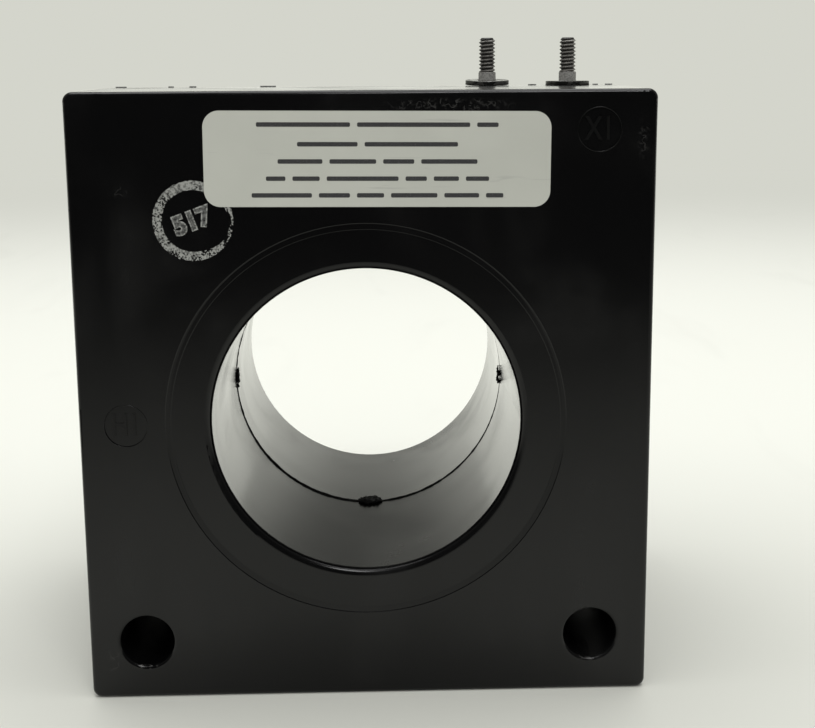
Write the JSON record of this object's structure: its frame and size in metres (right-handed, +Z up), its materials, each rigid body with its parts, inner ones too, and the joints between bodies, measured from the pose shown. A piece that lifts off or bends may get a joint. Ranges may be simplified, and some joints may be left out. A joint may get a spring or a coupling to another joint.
{
  "type": "window current transformer",
  "caption": "Window-type current transformer: a square black moulded case with a round window right through it, terminal screws on top and mounting holes in its lower corners.",
  "frame": {"origin": "middle of the base, on the parting plane of the two case halves", "axes": "+X to the right seen from the labelled front face, +Y from the front face to the rear face along the window, +Z up towards the terminals"},
  "size_m": [0.1538, 0.1144, 0.1789],
  "materials": {
    "case_plastic": "black, semi-gloss",
    "resin": "black casting resin",
    "core_steel": "coated strip",
    "pressboard": "plain",
    "magnet_wire": "enamelled copper",
    "cotton_tape": "varnished tape",
    "sleeving": "varnished glass sleeving",
    "lug_metal": "tinned",
    "screw_metal": "dull plated steel",
    "washer_metal": "dull plated steel",
    "label_film": "satin, silver grey"
  },
  "bodies": {
    "root": {"front_case": "case_plastic", "rear_case": "case_plastic", "potting_resin": "resin", "resin_dab_right": "resin", "resin_dab_bottom": "resin", "resin_dab_left": "resin", "resin_dab_top": "resin", "top_flash": "resin", "strip_core": "core_steel", "core_outer_board": "pressboard", "core_inner_board": "pressboard", "core_front_board": "pressboard", "core_rear_board": "pressboard", "secondary_winding": "magnet_wire", "coil_tape": "cotton_tape", "blank_label": "label_film", "terminal_screw_left": "screw_metal", "terminal_washer_left": "washer_metal", "terminal_lug_left": "lug_metal", "lead_wire_left": "magnet_wire", "lead_sleeve_left": "sleeving", "terminal_screw_right": "screw_metal", "terminal_washer_right": "washer_metal", "terminal_lug_right": "lug_metal", "lead_wire_right": "magnet_wire", "lead_sleeve_right": "sleeving"}
  },
  "joints": []
}
